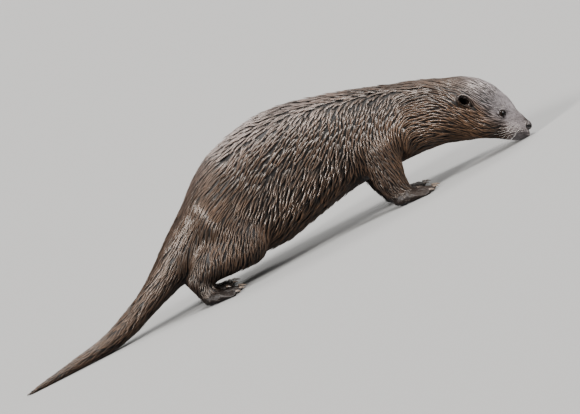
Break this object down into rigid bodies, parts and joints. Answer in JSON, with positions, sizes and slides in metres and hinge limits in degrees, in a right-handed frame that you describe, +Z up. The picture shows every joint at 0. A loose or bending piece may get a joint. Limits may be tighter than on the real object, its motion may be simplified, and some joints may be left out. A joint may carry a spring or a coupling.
{
  "type": "river otter",
  "caption": "Still life-size river otter, walking with arched back, nose close to the ground and the long tapered tail laid on the floor, in a wet brown coat",
  "frame": {"origin": "on the floor under the middle of the animal's length", "axes": "+X the way the otter faces, +Y its left side, +Z up"},
  "size_m": [0.8609, 0.1785, 0.2201],
  "materials": {
    "coat": "wet brown fur in pointed clumps, with a grey sheen",
    "throat_coat": "paler warm brown fur of the neck and throat",
    "tail_coat": "short smooth wet fur, darker to the tip",
    "ear_coat": "short dark fur round a bare dark hollow",
    "foot_skin": "damp dark skin with very short hair",
    "nose_skin": "moist, finely pebbled black skin",
    "eye": "wet dark brown eye, nearly black",
    "claw": "translucent horn"
  },
  "bodies": {
    "root": {"head": "coat", "chest": "coat", "belly": "coat", "rump": "coat", "neck": "throat_coat", "leg_fore_left": "coat", "leg_hind_left": "coat", "foot_fore_left": "foot_skin", "foot_hind_left": "foot_skin", "ear_left": "ear_coat", "eye_left": "eye", "claw_fore_left_1": "claw", "claw_fore_left_2": "claw", "claw_fore_left_3": "claw", "claw_fore_left_4": "claw", "claw_fore_left_5": "claw", "claw_hind_left_1": "claw", "claw_hind_left_2": "claw", "claw_hind_left_3": "claw", "claw_hind_left_4": "claw", "claw_hind_left_5": "claw", "leg_fore_right": "coat", "leg_hind_right": "coat", "foot_fore_right": "foot_skin", "foot_hind_right": "foot_skin", "ear_right": "ear_coat", "eye_right": "eye", "claw_fore_right_1": "claw", "claw_fore_right_2": "claw", "claw_fore_right_3": "claw", "claw_fore_right_4": "claw", "claw_fore_right_5": "claw", "claw_hind_right_1": "claw", "claw_hind_right_2": "claw", "claw_hind_right_3": "claw", "claw_hind_right_4": "claw", "claw_hind_right_5": "claw", "tail_base": "tail_coat", "tail_middle": "tail_coat", "tail_end": "tail_coat", "nose": "nose_skin"}
  },
  "joints": []
}
